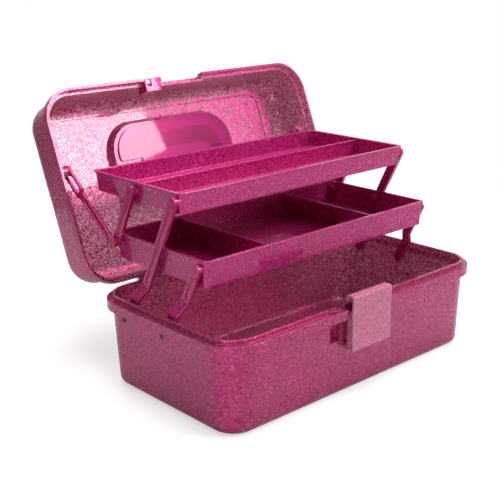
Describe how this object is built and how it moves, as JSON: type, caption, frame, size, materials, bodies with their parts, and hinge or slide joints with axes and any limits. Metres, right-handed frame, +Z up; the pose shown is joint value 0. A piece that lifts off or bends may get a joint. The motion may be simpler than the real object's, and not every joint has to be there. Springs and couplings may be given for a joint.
{
  "type": "craft storage box",
  "caption": "Open craft storage box with cantilever trays, deep hinged lid with a folding carry handle, slotted lid stays, snap latch and padlock eye.",
  "frame": {"origin": "centre of the tub's flat underside", "axes": "+X along the box's length to the viewer's right, -Y towards the latch at the front, +Z up"},
  "size_m": [0.33, 0.3026, 0.2603],
  "materials": {
    "tinted_glitter": "gloss, translucent magenta polypropylene with fine glitter",
    "tray_glitter": "gloss, translucent pink polypropylene with fine glitter",
    "linkage_pink": "gloss, moulded pink polypropylene",
    "latch_pink": "gloss, paler pink polypropylene",
    "handle_pink": "gloss, magenta polypropylene",
    "hinge_steel": "bright drawn wire"
  },
  "bodies": {
    "base": {"base_tub": "tinted_glitter", "hinge_pin_left": "hinge_steel", "hinge_pin_right": "hinge_steel"},
    "lid": {"lid": "tinted_glitter"},
    "carry_handle": {"carry_handle": "handle_pink"},
    "latch": {"latch": "latch_pink"},
    "upper_tray": {"upper_tray": "tray_glitter"},
    "lower_tray": {"lower_tray": "tray_glitter", "tray_divider_left": "tray_glitter", "tray_divider_right": "tray_glitter"},
    "long_arm_left": {"long_arm_left": "linkage_pink"},
    "short_arm_left": {"short_arm_left": "linkage_pink"},
    "rear_arm_left": {"rear_arm_left": "linkage_pink"},
    "lid_stay_left": {"lid_stay_left": "linkage_pink"},
    "long_arm_right": {"long_arm_right": "linkage_pink"},
    "short_arm_right": {"short_arm_right": "linkage_pink"},
    "rear_arm_right": {"rear_arm_right": "linkage_pink"},
    "lid_stay_right": {"lid_stay_right": "linkage_pink"}
  },
  "joints": [
    {"name": "lid_hinge", "type": "hinge", "parent": "base", "child": "lid", "pos_m": [0, 0.0952, 0.0844], "axis": [1, 0, 0], "range_deg": [0, 112]},
    {"name": "long_arm_left_pivot", "type": "hinge", "parent": "base", "child": "long_arm_left", "pos_m": [-0.148, 0.0545, 0.0685], "axis": [1, 0, 0], "range_deg": [0, 43.1]},
    {"name": "short_arm_left_pivot", "type": "hinge", "parent": "base", "child": "short_arm_left", "pos_m": [-0.148, -0.0005, 0.0685], "axis": [1, 0, 0], "range_deg": [0, 43.1]},
    {"name": "long_arm_right_pivot", "type": "hinge", "parent": "base", "child": "long_arm_right", "pos_m": [0.148, 0.0545, 0.0685], "axis": [1, 0, 0], "range_deg": [0, 43.1]},
    {"name": "short_arm_right_pivot", "type": "hinge", "parent": "base", "child": "short_arm_right", "pos_m": [0.148, -0.0005, 0.0685], "axis": [1, 0, 0], "range_deg": [0, 43.1]},
    {"name": "lower_tray_pivot", "type": "hinge", "parent": "long_arm_left", "child": "lower_tray", "pos_m": [-0.14, 0.02272, 0.13087], "axis": [1, 0, 0], "range_deg": [-43.1, 0]},
    {"name": "upper_tray_pivot", "type": "hinge", "parent": "long_arm_left", "child": "upper_tray", "pos_m": [-0.14, -0.00361, 0.18255], "axis": [1, 0, 0], "range_deg": [-43.1, 0]},
    {"name": "rear_arm_left_pivot", "type": "hinge", "parent": "lower_tray", "child": "rear_arm_left", "pos_m": [-0.144, 0.08152, 0.13087], "axis": [1, 0, 0], "range_deg": [0, 43.1]},
    {"name": "lid_stay_left_pivot", "type": "hinge", "parent": "lower_tray", "child": "lid_stay_left", "pos_m": [-0.1488, 0.08152, 0.13087], "axis": [1, 0, 0], "range_deg": [0, 136.9]},
    {"name": "rear_arm_right_pivot", "type": "hinge", "parent": "lower_tray", "child": "rear_arm_right", "pos_m": [0.144, 0.08152, 0.13087], "axis": [1, 0, 0], "range_deg": [0, 43.1]},
    {"name": "lid_stay_right_pivot", "type": "hinge", "parent": "lower_tray", "child": "lid_stay_right", "pos_m": [0.1488, 0.08152, 0.13087], "axis": [1, 0, 0], "range_deg": [0, 136.9]},
    {"name": "handle_pivot", "type": "hinge", "parent": "lid", "child": "carry_handle", "pos_m": [0, 0.16998, 0.1491], "axis": [-1, 0, 0], "range_deg": [0, 95]},
    {"name": "latch_pivot", "type": "hinge", "parent": "base", "child": "latch", "pos_m": [0, -0.0914, 0.0472], "axis": [1, 0, 0], "range_deg": [0, 80]}
  ],
  "couplings": [
    {"joint": "long_arm_left_pivot", "follows": "lid_hinge", "ratio": 0.38393},
    {"joint": "short_arm_left_pivot", "follows": "lid_hinge", "ratio": 0.38393},
    {"joint": "long_arm_right_pivot", "follows": "lid_hinge", "ratio": 0.38393},
    {"joint": "short_arm_right_pivot", "follows": "lid_hinge", "ratio": 0.38393},
    {"joint": "lower_tray_pivot", "follows": "lid_hinge", "ratio": -0.38393},
    {"joint": "upper_tray_pivot", "follows": "lid_hinge", "ratio": -0.38393},
    {"joint": "rear_arm_left_pivot", "follows": "lid_hinge", "ratio": 0.38393},
    {"joint": "lid_stay_left_pivot", "follows": "lid_hinge", "ratio": 1.2215},
    {"joint": "rear_arm_right_pivot", "follows": "lid_hinge", "ratio": 0.38393},
    {"joint": "lid_stay_right_pivot", "follows": "lid_hinge", "ratio": 1.2215}
  ]
}
